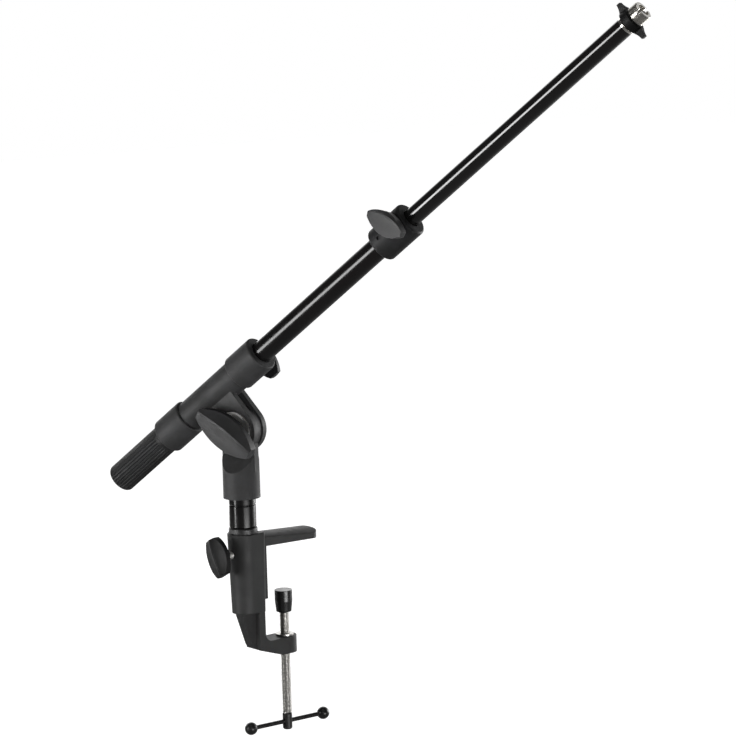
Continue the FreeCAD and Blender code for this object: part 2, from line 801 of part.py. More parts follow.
def guide_plug():
    """Plug that guides the inner tube's hidden end in the outer tube."""
    flange = outer_bore_radius - running_gap
    spigot = inner_bore_radius - running_gap
    low = inner_tube_start - face_gap - guide_flange_length
    high = inner_tube_start - face_gap
    tip = inner_tube_start + guide_spigot_length
    profile = [(0, low), (flange, low), (flange, high), (spigot, high), (spigot, tip), (0, tip)]
    return placed(turned(profile), boom_frame, boom_axis)


def inner_tube():
    tube = ring(inner_bore_radius, inner_radius, inner_tube_start, inner_tube_end)
    return placed(tube, boom_frame, boom_axis)


def tip_plug():
    """Bright end fitting: plug in the inner tube, flange on its rim and threaded stud."""
    plug = inner_bore_radius - press_gap
    flange_end = inner_tube_end + tip_flange_length
    stud_end = flange_end + stud_length
    start = inner_tube_end - tip_plug_length
    profile = [(0, start), (plug, start), (plug, inner_tube_end), (inner_radius, inner_tube_end)]
    profile += [(inner_radius, flange_end), (stud_radius, flange_end), (stud_radius, stud_end), (0, stud_end)]
    return placed(turned(profile), boom_frame, boom_axis)


def lock_ring_insert():
    bore = stud_radius + running_gap
    insert = ring(bore, bore + ring_insert_wall, ring_end - ring_length, ring_end)
    return placed(insert, boom_frame, boom_axis)


def lock_ring():
    """Ring nut with two horned ears, above and below the boom."""
    start = ring_end - ring_length
    radius = ring_diameter / 2
    hub = cylinder(radius, start, ring_end)
    hub = hub.makeChamfer(ring_edge, edges_where(hub, lambda c: abs(c.z - ring_end) < press_gap))
    middle = (start + ring_end) / 2
    waist = radius + (ear_span / 2 - radius) * ear_waist_share
    tip = ear_span / 2
    half_tip = ear_tip_length / 2
    waist_half = ring_length * ear_waist_share / 2
    half = ear_thickness / 2
    ears = []
    for side in (-1, 1):
        low_root = Vec(0, -half, start)
        high_root = Vec(0, -half, ring_end)
        low_base = Vec(side * radius, -half, start)
        high_base = Vec(side * radius, -half, ring_end)
        low_tip = Vec(side * tip, -half, middle - half_tip)
        high_tip = Vec(side * tip, -half, middle + half_tip)
        low_waist = Vec(side * waist, -half, middle - waist_half)
        edges = [line(low_root, low_base), arc(low_base, low_waist, low_tip)]
        edges += [line(low_tip, high_tip)]
        edges += [arc(high_tip, Vec(side * waist, -half, middle + waist_half), high_base)]
        edges += [line(high_base, high_root), line(high_root, low_root)]
        ears.append(prism(edges, Vec(0, ear_thickness, 0)))
    bore = stud_radius + running_gap + ring_insert_wall + running_gap
    body = hub.fuse(ears).cut(cylinder(bore, start - overrun, ring_end + overrun))
    return placed(body.removeSplitter(), boom_frame, boom_axis)


def thread_adaptor():
    radius = adaptor_diameter / 2
    body = cylinder(radius, adaptor_start, adaptor_end)
    body = body.makeChamfer(adaptor_edge, edges_where(body, lambda c: abs(c.z - adaptor_end) < press_gap))
    bore = cylinder(stud_radius + running_gap, adaptor_start - overrun, adaptor_end + overrun)
    slot = slab(adaptor_diameter + overrun, adaptor_slot_width, adaptor_end - adaptor_slot_depth,
                adaptor_end + overrun)
    return placed(body.cut([bore, slot]), boom_frame, boom_axis)


def lock_set(seat, knob_base, knob, *frames):
    """Thrust pad, screw and wing knob of one lock, seated along the last frame's Z."""
    return [placed(piece, *frames) for piece in (lock_pad(seat), lock_screw(seat, knob_base), knob)]


def clamp_lock():
    knob_base = top_radius + clamp_lock_standoff
    knob = lock_knob(knob_base, lock_hub_height, clamp_wing_length, clamp_wing_width, clamp_wing_end_width,
                     lock_crest_shift)
    return lock_set(spigot_radius, knob_base, knob, clamp_lock_frame())


def boom_lock():
    knob_base = front_collar_diameter / 2 + boom_lock_boss_height + boom_lock_standoff
    knob = lock_knob(knob_base, lock_hub_height, lock_wing_length, lock_wing_width, lock_wing_end_width,
                     lock_crest_shift)
    return lock_set(outer_radius, knob_base, knob, boom_frame, boom_axis, collar_lock_frame())


def telescope_lock():
    knob_base = telescope_diameter / 2 + telescope_lock_standoff
    knob = lock_knob(knob_base, telescope_hub_height, telescope_wing_length, telescope_wing_width,
                     telescope_wing_end_width, telescope_crest_shift)
    return lock_set(inner_radius, knob_base, knob, boom_frame, boom_axis, telescope_lock_frame())


def build():
    """All pieces by node name."""
    clamp_pad, clamp_screw, clamp_knob = clamp_lock()
    boom_pad, boom_screw, boom_knob = boom_lock()
    telescope_pad, telescope_screw, telescope_knob = telescope_lock()
    return {
        "clamp_frame": clamp_frame(),
        "spindle_bush": spindle_bush(),
        "pad_cap": pad_cap(),
        "spindle": spindle(),
        "tommy_bar": tommy_bar(),
        "ball_knobs": ball_knobs(),
        "rod_lock_pad": clamp_pad,
        "rod_lock_screw": clamp_screw,
        "rod_lock_knob": clamp_knob,
        "glide_ring": glide_ring(),
        "stub_rod": stub_rod(),
        "joint_socket": joint_socket(),
        "friction_discs": friction_discs(),
        "barrel": barrel(),
        "barrel_liner": barrel_liner(),
        "tilt_bolt": tilt_bolt(),
        "joint_washer": joint_washer(),
        "joint_knob": joint_knob(),
        "joint_knob_insert": joint_knob_insert(),
        "boom_lock_pad": boom_pad,
        "boom_lock_screw": boom_screw,
        "boom_lock_knob": boom_knob,
        "rear_collar": rear_collar(),
        "outer_tube": outer_tube(),
        "tail_grip": tail_grip(),
        "telescope_collar": telescope_collar(),
        "telescope_liner": telescope_liner(),
        "telescope_pad": telescope_pad,
        "telescope_screw": telescope_screw,
        "telescope_knob": telescope_knob,
        "guide_plug": guide_plug(),
        "inner_tube": inner_tube(),
        "tip_plug": tip_plug(),
        "lock_ring_insert": lock_ring_insert(),
        "lock_ring": lock_ring(),
        "thread_adaptor": thread_adaptor(),
    }


os.makedirs("parts", exist_ok=True)
for node_name, node_shape in build().items():
    node_shape.exportStep(os.path.join("parts", node_name + ".step"))
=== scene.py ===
"""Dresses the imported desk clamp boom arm: threads, finishes, studio and camera."""

from __future__ import annotations

import logging
import math
from dataclasses import dataclass, field
from enum import Enum

import bmesh
import bpy
from mathutils import Matrix, Vector


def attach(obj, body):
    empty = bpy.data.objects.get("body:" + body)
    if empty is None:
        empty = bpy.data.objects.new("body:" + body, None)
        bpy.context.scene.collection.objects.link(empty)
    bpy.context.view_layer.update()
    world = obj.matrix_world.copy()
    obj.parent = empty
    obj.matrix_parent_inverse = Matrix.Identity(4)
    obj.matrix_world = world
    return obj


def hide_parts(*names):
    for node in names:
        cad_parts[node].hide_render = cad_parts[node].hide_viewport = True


LOG = logging.getLogger("boom_arm")
MM = 0.001
DUST_COLOUR = (0.30, 0.29, 0.27, 1.0)
DUST_DULLING = 0.4
GRAIN_STRENGTH = 0.6
THREAD_FORM = ((0.0, 0.0), (0.36, 1.0), (0.56, 1.0), (0.92, 0.0))
WELD = 1e-4

# Places of the lock screws, in millimetres along the post and the boom, and the roll of one in degrees.
ROD_LOCK_HEIGHT = -5.0
BOOM_LOCK_STATION = 42.0
TELESCOPE_STATION = 222.5
TELESCOPE_ROLL = 16.0

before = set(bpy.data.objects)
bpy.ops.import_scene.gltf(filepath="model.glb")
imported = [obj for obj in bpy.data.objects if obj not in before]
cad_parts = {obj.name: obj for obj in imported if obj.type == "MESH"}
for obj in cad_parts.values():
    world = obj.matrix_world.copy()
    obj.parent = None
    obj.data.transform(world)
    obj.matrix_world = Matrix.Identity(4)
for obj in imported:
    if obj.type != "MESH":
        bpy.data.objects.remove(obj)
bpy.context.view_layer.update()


class Axis(Enum):
    """Directions along which pieces are drawn, turned or brushed."""

    POST = "post"
    BOOM = "boom"
    BAR = "bar"
    HINGE = "hinge"


@dataclass(frozen=True)
class ArmFrame:
    """The places and directions that the arm is drawn in, in millimetres and degrees.

    Attributes:
        heading: turn of the boom about the post.
        tilt: rise of the boom above the horizon.
        socket_reach: distance from the spindle to the post.
        hinge_height: height of the tilt hinge above the desk.
        barrel_offset: distance from the hinge to the boom's own axis.
        bar_heading: turn of the cross bar about the spindle.
    """

    heading: float = -68.0
    tilt: float = 38.6
    socket_reach: float = 38.8
    hinge_height: float = 96.9
    barrel_offset: float = 35.0
    bar_heading: float = -3.5

    @property
    def level(self) -> Vector:
        """Direction of the boom, laid flat."""
        turn = math.radians(self.heading)
        return Vector((math.cos(turn), math.sin(turn), 0.0))

    @property
    def along(self) -> Vector:
        """Direction of the boom, from its grip to its tip."""
        rise = math.radians(self.tilt)
        return self.level * math.cos(rise) + Vector((0, 0, 1)) * math.sin(rise)

    @property
    def upper(self) -> Vector:
        """Direction square to the boom, away from the hinge."""
        rise = math.radians(self.tilt)
        return Vector((0, 0, 1)) * math.cos(rise) - self.level * math.sin(rise)

    @property
    def near(self) -> Vector:
        """Direction out of the boom's near side, along the hinge."""
        return self.along.cross(self.upper).normalized()

    @property
    def bar(self) -> Vector:
        """Direction of the cross bar."""
        turn = math.radians(self.bar_heading)
        return Vector((math.cos(turn), math.sin(turn), 0.0))

    def direction(self, axis: Axis) -> Vector:
        """Gives a named direction.

        Args:
            axis: the direction's name.

        Returns:
            The unit vector in the part's frame.
        """
        choices = {
            Axis.POST: Vector((0, 0, 1)),
            Axis.BOOM: self.along,
            Axis.BAR: self.bar,
            Axis.HINGE: self.near,
        }
        return choices[axis]

    def boom_point(self, station: float) -> Vector:
        """Gives a point on the boom's axis.

        Args:
            station: distance along the boom from the hinge, in millimetres.

        Returns:
            The point in the part's frame, in metres.
        """
        hinge = Vector((-self.socket_reach, 0.0, self.hinge_height))
        return (hinge + self.upper * self.barrel_offset + self.along * station) * MM


ARM = ArmFrame()


def axis_matrix(origin: Vector, direction: Vector) -> Matrix:
    """Builds a frame whose Z runs along a direction.

    Args:
        origin: the frame's origin in metres.
        direction: the way that Z points.

    Returns:
        The 4x4 matrix from that frame to the part's frame.
    """
    return Matrix.Translation(origin) @ direction.to_track_quat("Z", "Y").to_matrix().to_4x4()


class NodeCanvas:
    """Adds and links shader nodes in one node tree."""

    def __init__(self, tree: bpy.types.NodeTree) -> None:
        """Keeps the tree that the nodes go into."""
        self.tree = tree
        self.count = 0

    def add(self, kind: str, **settings: object) -> bpy.types.Node:
        """Adds a node.

        Args:
            kind: Blender's name of the node type.
            settings: values of the node's own properties.

        Returns:
            The new node.
        """
        node = self.tree.nodes.new(kind)
        node.location = (220 * (self.count % 8), -260 * (self.count // 8))
        self.count += 1
        for name, value in settings.items():
            setattr(node, name, value)
        return node

    def link(self, source: bpy.types.NodeSocket, target: bpy.types.NodeSocket) -> None:
        """Links one socket to another."""
        self.tree.links.new(source, target)

    def feed(self, target: bpy.types.NodeSocket, value: object) -> None:
        """Links a socket, or sets a plain value.

        Args:
            target: the input to be fed.
            value: another socket, a number or a colour.
        """
        if isinstance(value, bpy.types.NodeSocket):
            self.link(value, target)
        else:
            target.default_value = value

    def math(
        self, operation: str, first: object, second: object = 0.0, clamp: bool = False
    ) -> bpy.types.NodeSocket:
        """Works out one sum.

        Args:
            operation: Blender's name of the sum.
            first: a socket or a number.
            second: a socket or a number.
            clamp: whether the result is kept from 0 to 1.

        Returns:
            The socket with the result.
        """
        node = self.add("ShaderNodeMath", operation=operation, use_clamp=clamp)
        self.feed(node.inputs[0], first)
        self.feed(node.inputs[1], second)
        return node.outputs[0]

    def spread(
        self, value: object, low: float, high: float, out_low: float, out_high: float
    ) -> bpy.types.NodeSocket:
        """Maps a range of values onto another, smoothly.

        Args:
            value: a socket or a number.
            low: lower end of the range read.
            high: upper end of the range read.
            out_low: result at the lower end.
            out_high: result at the upper end.

        Returns:
            The socket with the mapped value.
        """
        node = self.add("ShaderNodeMapRange", interpolation_type="SMOOTHSTEP")
        self.feed(node.inputs["Value"], value)
        limits = {"From Min": low, "From Max": high, "To Min": out_low, "To Max": out_high}
        for name, number in limits.items():
            self.feed(node.inputs[name], number)
        return node.outputs["Result"]

    def blend(self, factor: object, first: object, second: object) -> bpy.types.NodeSocket:
        """Mixes two colours.

        Args:
            factor: share of the second colour.
            first: a socket or a colour.
            second: a socket or a colour.

        Returns:
            The socket with the mixed colour.
        """
        node = self.add("ShaderNodeMix", data_type="RGBA")
        self.feed(node.inputs["Factor"], factor)
        self.feed(node.inputs["A"], first)
        self.feed(node.inputs["B"], second)
        return node.outputs["Result"]

    def noise(
        self, vector: object, scale: object, detail: float = 3.0, rough: float = 0.55
    ) -> bpy.types.NodeSocket:
        """Adds a noise pattern.

        Args:
            vector: the socket with the place to read.
            scale: the pattern's scale, a socket or a number.
            detail: layers of finer noise.
            rough: strength of the finer layers.

        Returns:
            The socket with the noise value.
        """
        node = self.add("ShaderNodeTexNoise")
        self.feed(node.inputs["Vector"], vector)
        self.feed(node.inputs["Scale"], scale)
        node.inputs["Detail"].default_value = detail
        node.inputs["Roughness"].default_value = rough
        return node.outputs["Fac"]


class EffectGroups:
    """Shader node groups that the finishes share, each built once."""

    def __init__(self) -> None:
        """Builds every group."""
        self.grain = self._moulded_grain()
        self.edges = self._soft_edges()
        self.marks = self._handling_marks()
        self.lines = self._drawn_lines()
        self.dust = self._settled_dust()

    @staticmethod
    def _start(
        name: str, inputs: dict[str, float | None], outputs: list[str]
    ) -> tuple[NodeCanvas, dict, dict]:
        """Starts a group with its sockets.

        Args:
            name: the group's name.
            inputs: input names with defaults; None makes a vector input.
            outputs: output names; one that ends in Normal is a vector.

        Returns:
            The canvas, the input sockets and the output sockets by name.
        """
        tree = bpy.data.node_groups.new(name, "ShaderNodeTree")
        for label, value in inputs.items():
            kind = "NodeSocketVector" if value is None else "NodeSocketFloat"
            socket = tree.interface.new_socket(label, in_out="INPUT", socket_type=kind)
            if value is not None:
                socket.default_value = value
        for label in outputs:
            kind = "NodeSocketVector" if label.endswith("Normal") else "NodeSocketFloat"
            tree.interface.new_socket(label, in_out="OUTPUT", socket_type=kind)
        canvas = NodeCanvas(tree)
        entry = canvas.add("NodeGroupInput")
        leave = canvas.add("NodeGroupOutput")
        return canvas, entry.outputs, leave.inputs

    def _moulded_grain(self) -> bpy.types.NodeTree:
        """Builds the spark-eroded grain of moulded plastic and powder coat.

        Returns:
            A group with Height and Mask outputs.
        """
        inputs = {"Place": None, "Scale": 1800.0}
        canvas, inlet, outlet = self._start("moulded_grain", inputs, ["Height", "Mask"])
        fine = canvas.noise(inlet["Place"], inlet["Scale"], 2.0, 0.6)
        cells = canvas.add("ShaderNodeTexVoronoi", feature="SMOOTH_F1")
        canvas.link(inlet["Place"], cells.inputs["Vector"])
        canvas.link(canvas.math("MULTIPLY", inlet["Scale"], 0.7), cells.inputs["Scale"])
        sparks = canvas.math("MULTIPLY", fine, 0.6)
        pits = canvas.math("MULTIPLY", cells.outputs["Distance"], 0.4)
        canvas.link(canvas.math("ADD", sparks, pits), outlet["Height"])
        broad = canvas.noise(inlet["Place"], canvas.math("MULTIPLY", inlet["Scale"], 0.03), 3.0)
        canvas.link(canvas.spread(broad, 0.35, 0.68, 0.0, 1.0), outlet["Mask"])
        return canvas.tree

    def _soft_edges(self) -> bpy.types.NodeTree:
        """Builds the small rounding of every edge, and the mask of what rubs there.

        Returns:
            A group with Soft Normal and Wear outputs.
        """
        inputs = {"Place": None, "Radius": 0.0005, "Scale": 260.0}
        canvas, inlet, outlet = self._start("soft_edges", inputs, ["Soft Normal", "Wear"])
        bevel = canvas.add("ShaderNodeBevel", samples=6)
        canvas.link(inlet["Radius"], bevel.inputs["Radius"])
        canvas.link(bevel.outputs["Normal"], outlet["Soft Normal"])
        plain = canvas.add("ShaderNodeNewGeometry")
        dot = canvas.add("ShaderNodeVectorMath", operation="DOT_PRODUCT")
        canvas.link(bevel.outputs["Normal"], dot.inputs[0])
        canvas.link(plain.outputs["Normal"], dot.inputs[1])
        edge = canvas.spread(dot.outputs["Value"], 0.80, 0.985, 1.0, 0.0)
        patchy = canvas.spread(canvas.noise(inlet["Place"], inlet["Scale"], 4.0), 0.42, 0.66, 0.0, 1.0)
        canvas.link(canvas.math("MULTIPLY", edge, patchy, True), outlet["Wear"])
        return canvas.tree

    def _handling_marks(self) -> bpy.types.NodeTree:
        """Builds the cloudy marks that hands leave on a surface.

        Returns:
            A group with a Mask output.
        """
        canvas, inlet, outlet = self._start("handling_marks", {"Place": None, "Scale": 45.0}, ["Mask"])
        broad = canvas.noise(inlet["Place"], inlet["Scale"], 4.0, 0.6)
        close = canvas.noise(inlet["Place"], canvas.math("MULTIPLY", inlet["Scale"], 5.0), 3.0, 0.5)
        mixed = canvas.math("ADD", canvas.math("MULTIPLY", broad, 0.7), canvas.math("MULTIPLY", close, 0.3))
        canvas.link(canvas.spread(mixed, 0.38, 0.64, 0.0, 1.0), outlet["Mask"])
        return canvas.tree

    def _drawn_lines(self) -> bpy.types.NodeTree:
        """Builds fine lines left by drawing or turning, along the Z of the place that is read.

        Returns:
            A group with Mask and Height outputs.
        """
        inputs = {"Place": None, "Scale": 1500.0, "Stretch": 0.02}
        canvas, inlet, outlet = self._start("drawn_lines", inputs, ["Mask", "Height"])
        parts = canvas.add("ShaderNodeSeparateXYZ")
        canvas.link(inlet["Place"], parts.inputs[0])
        joined = canvas.add("ShaderNodeCombineXYZ")
        canvas.link(parts.outputs["X"], joined.inputs["X"])
        canvas.link(parts.outputs["Y"], joined.inputs["Y"])
        canvas.link(canvas.math("MULTIPLY", parts.outputs["Z"], inlet["Stretch"]), joined.inputs["Z"])
        lines = canvas.noise(joined.outputs[0], inlet["Scale"], 3.0, 0.6)
        canvas.link(lines, outlet["Height"])
        canvas.link(canvas.spread(lines, 0.4, 0.62, 0.0, 1.0), outlet["Mask"])
        return canvas.tree

    def _settled_dust(self) -> bpy.types.NodeTree:
        """Builds the thin dust that settles on faces that look up.

        Returns:
            A group with a Mask output.
        """
        inputs = {"Place": None, "Scale": 320.0, "Amount": 0.2}
        canvas, inlet, outlet = self._start("settled_dust", inputs, ["Mask"])
        plain = canvas.add("ShaderNodeNewGeometry")
        parts = canvas.add("ShaderNodeSeparateXYZ")
        canvas.link(plain.outputs["Normal"], parts.inputs[0])
        facing = canvas.spread(parts.outputs["Z"], 0.25, 0.95, 0.0, 1.0)
        specks = canvas.spread(canvas.noise(inlet["Place"], inlet["Scale"], 5.0, 0.7), 0.45, 0.75, 0.0, 1.0)
        settled = canvas.math("MULTIPLY", facing, specks)
        canvas.link(canvas.math("MULTIPLY", settled, inlet["Amount"], True), outlet["Mask"])
        return canvas.tree


@dataclass(frozen=True)
class Finish:
    """One surface finish: colours, gloss and the strength of the shared effects.

    Attributes:
        name: the material's name.
        colour: main colour, linear.
        second: colour of the cloudy variation.
        worn: colour where edges rub.
        roughness: lower and upper roughness.
        metallic: 1 for bare or plated metal.
        coat: weight of a clear coat.
        coat_roughness: roughness of that coat.
        grain_scale: scale of the moulded grain.
        grain_depth: depth of the grain in metres.
        edge_radius: rounding of edges in metres.
        wear: strength of worn edges.
        lines: strength of drawn lines.
        dust: amount of settled dust.
        axis: direction in which drawn lines run.
        specular: strength of the plain reflection.
    """

    name: str
    colour: tuple[float, float, float]
    second: tuple[float, float, float]
    worn: tuple[float, float, float]
    roughness: tuple[float, float]
    metallic: float = 0.0
    coat: float = 0.0
    coat_roughness: float = 0.05
    grain_scale: float = 1800.0
    grain_depth: float = 0.00003
    edge_radius: float = 0.0005
    wear: float = 0.4
    lines: float = 0.0
    dust: float = 0.1
    axis: Axis = Axis.POST
    specular: float = 0.5

    def _group(
        self, canvas: NodeCanvas, tree: bpy.types.NodeTree, place: bpy.types.NodeSocket, **values: float
    ) -> bpy.types.Node:
        """Places one shared group in the material.

        Args:
            canvas: the material's canvas.
            tree: the group.
            place: socket with the place on the surface.
            values: numbers for the group's other inputs.

        Returns:
            The group node.
        """
        node = canvas.add("ShaderNodeGroup", node_tree=tree)
        canvas.link(place, node.inputs["Place"])
        for label, value in values.items():
            node.inputs[label].default_value = value
        return node

    def build(self, groups: EffectGroups) -> bpy.types.Material:
        """Builds the material.

        Args:
            groups: the shared effects.

        Returns:
            The finished material.
        """
        material = bpy.data.materials.new(self.name)
        material.use_nodes = True
        material.node_tree.nodes.clear()
        canvas = NodeCanvas(material.node_tree)
        output = canvas.add("ShaderNodeOutputMaterial")
        shader = canvas.add("ShaderNodeBsdfPrincipled")
        canvas.link(shader.outputs["BSDF"], output.inputs["Surface"])
        place = canvas.add("ShaderNodeTexCoord").outputs["Object"]
        turn = canvas.add("ShaderNodeMapping", vector_type="POINT")
        upright = ARM.direction(self.axis).rotation_difference(Vector((0, 0, 1)))
        turn.inputs["Rotation"].default_value = upright.to_euler()
        canvas.link(place, turn.inputs["Vector"])
        grain = self._group(canvas, groups.grain, place, Scale=self.grain_scale)
        edges = self._group(canvas, groups.edges, place, Radius=self.edge_radius)
        marks = self._group(canvas, groups.marks, place)
        dust = self._group(canvas, groups.dust, place, Amount=self.dust)
        lines = self._group(canvas, groups.lines, turn.outputs["Vector"])
        colour = canvas.blend(grain.outputs["Mask"], (*self.colour, 1.0), (*self.second, 1.0))
        drawn = canvas.math("MULTIPLY", lines.outputs["Mask"], self.lines)
        colour = canvas.blend(drawn, colour, (*self.second, 1.0))
        rubbed = canvas.math("MULTIPLY", edges.outputs["Wear"], self.wear)
        colour = canvas.blend(rubbed, colour, (*self.worn, 1.0))
        colour = canvas.blend(dust.outputs["Mask"], colour, DUST_COLOUR)
        canvas.link(colour, shader.inputs["Base Color"])
        low, high = self.roughness
        rough = canvas.spread(marks.outputs["Mask"], 0.0, 1.0, low, high)
        dulled = canvas.math("MULTIPLY", dust.outputs["Mask"], DUST_DULLING)
        rough = canvas.math("ADD", rough, dulled, True)
        canvas.link(rough, shader.inputs["Roughness"])
        shader.inputs["Metallic"].default_value = self.metallic
        shader.inputs["Coat Weight"].default_value = self.coat
        shader.inputs["Coat Roughness"].default_value = self.coat_roughness
        shader.inputs["Specular IOR Level"].default_value = self.specular
        scored = canvas.math("MULTIPLY", lines.outputs["Height"], self.lines)
        height = canvas.math("ADD", grain.outputs["Height"], scored)
        bump = canvas.add("ShaderNodeBump")
        bump.inputs["Strength"].default_value = GRAIN_STRENGTH
        bump.inputs["Distance"].default_value = self.grain_depth
        canvas.link(height, bump.inputs["Height"])
        canvas.link(edges.outputs["Soft Normal"], bump.inputs["Normal"])
        canvas.link(bump.outputs["Normal"], shader.inputs["Normal"])
        return material


class Finishes(Enum):
    """Every finish on the arm."""

    MOULDED = Finish(
        "moulded_black", (0.024, 0.024, 0.024), (0.032, 0.032, 0.033), (0.050, 0.050, 0.050),
        roughness=(0.54, 0.66), grain_depth=0.00005, edge_radius=0.0006, wear=0.35, dust=0.03,
        specular=0.25,
    )
    KNOB = Finish(
        "knob_black", (0.012, 0.012, 0.012), (0.017, 0.017, 0.018), (0.045, 0.045, 0.045),
        roughness=(0.44, 0.56), grain_depth=0.00004, edge_radius=0.0005, wear=0.4, dust=0.02,
        specular=0.30,
    )
    # Painted light: a lighter copy of the knob black, whose colour stands in for the light falling on the
    # telescope knob; its higher gloss is its own.
    KNOB_GLOSSIER_PAINTED_LIGHT = Finish(
        "knob_gloss_painted_light", (0.020, 0.020, 0.020), (0.026, 0.026, 0.027), (0.045, 0.045, 0.045),
        roughness=(0.42, 0.54), grain_depth=0.00004, edge_radius=0.0005, wear=0.4, dust=0.02,
        specular=0.42,
    )
    # Painted shade: a darker copy of the knob black, whose colour stands in for the shade on the clamp's
    # lock knob and the lock ring.
    KNOB_PAINTED_SHADE = Finish(
        "knob_painted_shade", (0.005, 0.005, 0.005), (0.008, 0.008, 0.008), (0.036, 0.036, 0.036),
        roughness=(0.44, 0.56), grain_depth=0.00004, edge_radius=0.0005, wear=0.4, dust=0.01,
        specular=0.16,
    )
    # Painted shade: a darker copy of the moulded black, whose colour stands in for the shade on the
    # telescope collar.
    COLLAR_PAINTED_SHADE = Finish(
        "collar_black_painted_shade", (0.012, 0.012, 0.012), (0.017, 0.017, 0.018), (0.045, 0.045, 0.045),
        roughness=(0.50, 0.62), grain_depth=0.00005, edge_radius=0.0006, wear=0.35, dust=0.02,
        specular=0.2,
    )
    CAST = Finish(
        "cast_black", (0.024, 0.024, 0.024), (0.032, 0.032, 0.032), (0.060, 0.060, 0.058),
        roughness=(0.48, 0.60), grain_scale=1100.0, grain_depth=0.00007, edge_radius=0.0008,
        wear=0.45, dust=0.03, specular=0.3,
    )
    GLOSS_BOOM = Finish(
        "gloss_black_boom", (0.004, 0.004, 0.004), (0.006, 0.005, 0.005), (0.030, 0.030, 0.030),
        roughness=(0.10, 0.18), coat=0.15, coat_roughness=0.05, grain_scale=300.0,
        grain_depth=0.000003, edge_radius=0.0003, wear=0.3, lines=0.3, dust=0.01, axis=Axis.BOOM,
    )
    GLOSS_OUTER = Finish(
        "gloss_black_outer", (0.004, 0.004, 0.004), (0.006, 0.005, 0.005), (0.030, 0.030, 0.030),
        roughness=(0.16, 0.24), coat=0.0, grain_scale=300.0, grain_depth=0.000003,
        edge_radius=0.0003, wear=0.3, lines=0.3, dust=0.01, axis=Axis.BOOM, specular=0.32,
    )
    GLOSS_POST = Finish(
        "gloss_black_post", (0.004, 0.004, 0.004), (0.006, 0.005, 0.005), (0.030, 0.030, 0.030),
        roughness=(0.16, 0.26), coat=0.1, coat_roughness=0.05, grain_scale=300.0,
        grain_depth=0.000002, edge_radius=0.0003, wear=0.3, lines=0.1, dust=0.01, specular=0.25,
    )
    GRIP = Finish(
        "ribbed_grip", (0.011, 0.011, 0.011), (0.016, 0.016, 0.017), (0.050, 0.050, 0.050),
        roughness=(0.50, 0.66), grain_depth=0.00005, edge_radius=0.0002, wear=0.4, dust=0.05,
        axis=Axis.BOOM, specular=0.3,
    )
    CAP = Finish(
        "cap_black", (0.008, 0.008, 0.008), (0.012, 0.012, 0.012), (0.040, 0.040, 0.040),
        roughness=(0.22, 0.38), grain_depth=0.00002, edge_radius=0.0006, wear=0.3, dust=0.02,
    )
    ZINC_POST = Finish(
        "zinc_post", (0.560, 0.550, 0.530), (0.460, 0.450, 0.430), (0.680, 0.670, 0.650),
        roughness=(0.30, 0.42), metallic=1.0, grain_scale=600.0, grain_depth=0.000006,
        edge_radius=0.0001, wear=0.4, lines=0.3, dust=0.01,
    )
    # Painted highlight: the plating's own zinc, lifted far brighter than the spindle's to stand in for the
    # white glint on the tilt washer.
    ZINC_HINGE_PAINTED_GLINT = Finish(
        "zinc_hinge_painted_glint", (0.88, 0.87, 0.85), (0.78, 0.77, 0.75), (0.92, 0.91, 0.89),
        roughness=(0.38, 0.50), metallic=1.0, grain_scale=600.0, grain_depth=0.000006,
        edge_radius=0.0001, wear=0.4, lines=0.3, dust=0.01, axis=Axis.HINGE,
    )
    BLACK_STEEL = Finish(
        "black_steel", (0.010, 0.010, 0.010), (0.018, 0.017, 0.017), (0.080, 0.075, 0.070),
        roughness=(0.24, 0.40), grain_depth=0.00002, edge_radius=0.0003, wear=0.5, lines=0.5,
        dust=0.01, axis=Axis.BAR,
    )
    NICKEL = Finish(
        "nickel", (0.79, 0.77, 0.73), (0.66, 0.64, 0.60), (0.90, 0.88, 0.85),
        roughness=(0.10, 0.22), metallic=1.0, grain_scale=600.0, grain_depth=0.000005,
        edge_radius=0.0002, wear=0.4, lines=0.25, dust=0.01, axis=Axis.BOOM,
    )
    LINER = Finish(
        "liner_plastic", (0.010, 0.010, 0.010), (0.015, 0.015, 0.015), (0.040, 0.040, 0.040),
        roughness=(0.34, 0.5), grain_depth=0.00002, edge_radius=0.0003, wear=0.3, dust=0.02,
    )
    BRASS = Finish(
        "brass_pads", (0.72, 0.52, 0.24), (0.60, 0.42, 0.19), (0.85, 0.66, 0.34),
        roughness=(0.22, 0.4), metallic=1.0, grain_depth=0.00001, edge_radius=0.0002, wear=0.4,
        lines=0.3, dust=0.01,
    )


class FinishShelf:
    """Builds each finish once and puts it on pieces."""

    def __init__(self) -> None:
        """Builds the shared effects."""
        self.groups = EffectGroups()
        self.made: dict[Finishes, bpy.types.Material] = {}

    def coat(self, piece: bpy.types.Object, finish: Finishes) -> None:
        """Puts one finish on a piece.

        Args:
            piece: the object to coat.
            finish: the finish's name.
        """
        if finish not in self.made:
            self.made[finish] = finish.value.build(self.groups)
        piece.data.materials.clear()
        piece.data.materials.append(self.made[finish])


